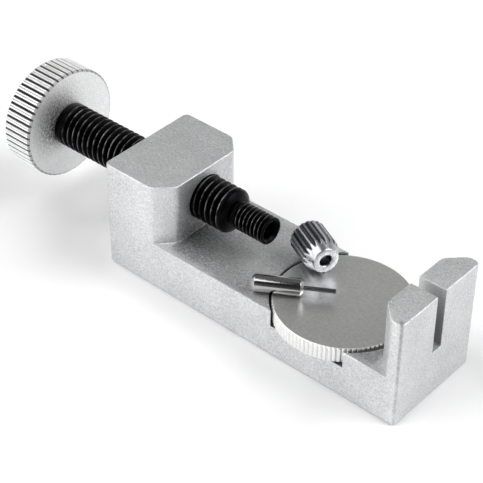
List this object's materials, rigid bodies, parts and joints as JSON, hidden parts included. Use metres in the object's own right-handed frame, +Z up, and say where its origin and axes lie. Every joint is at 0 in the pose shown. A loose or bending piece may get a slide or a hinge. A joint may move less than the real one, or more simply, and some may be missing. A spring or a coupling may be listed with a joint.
{
  "type": "screw-type watch bracelet link pin remover",
  "caption": "Small bench press for watch bracelets: a knurled screw drives a thin pin across a height-adjustable round table towards a slotted anvil.",
  "frame": {"origin": "centre of the casting's base face", "axes": "+X from the knob towards the slotted anvil along the screw's axis, +Y across the casting, +Z up"},
  "size_m": [0.087, 0.0234, 0.0253],
  "materials": {
    "casting": "bead-blasted, fine sparkling grain",
    "black_screw": "black oxide, oiled, with bright worn thread crests",
    "knob_metal": "turned and bead-blasted, straight knurl",
    "rivet_steel": "turned",
    "table_metal": "ground satin top, bright knurled rim",
    "stem_steel": "zinc plated thread",
    "cap_chrome": "nickel plated, fluted",
    "holder_steel": "polished",
    "pin_steel": "hardened, dark"
  },
  "bodies": {
    "frame": {"frame": "casting"},
    "feed": {"knob_rivet": "rivet_steel"},
    "press_screw": {"pressure_screw": "black_screw", "thumb_knob": "knob_metal"},
    "stem": {"table_stem": "stem_steel"},
    "table": {"table_disc": "table_metal"},
    "cap": {"chuck_cap": "cap_chrome"},
    "pin": {"pin_holder": "holder_steel", "push_pin": "pin_steel"}
  },
  "joints": [
    {"name": "screw_feed", "type": "slide", "parent": "frame", "child": "feed", "axis": [1, 0, 0], "range_m": [-0.01375, 0.0025]},
    {"name": "screw_turn", "type": "hinge", "parent": "feed", "child": "press_screw", "pos_m": [0, 0, 0.01515], "axis": [1, 0, 0], "range_deg": [-3960, 720]},
    {"name": "table_lift", "type": "slide", "parent": "frame", "child": "stem", "axis": [0, 0, 1], "range_m": [0, 0.003]},
    {"name": "table_turn", "type": "hinge", "parent": "stem", "child": "table", "pos_m": [0.0127, 0, 0.00635], "axis": [0, 0, 1], "range_deg": [0, 1080]},
    {"name": "cap_lift", "type": "slide", "parent": "stem", "child": "cap", "axis": [0, 0, 1], "range_m": [0, 0.03]},
    {"name": "pin_lift", "type": "slide", "parent": "stem", "child": "pin", "axis": [0, 0, 1], "range_m": [0, 0.03]}
  ],
  "couplings": [
    {"joint": "screw_feed", "follows": "screw_turn", "m_per_rad": 0.00019894},
    {"joint": "table_lift", "follows": "table_turn", "m_per_rad": 0.00015915}
  ]
}
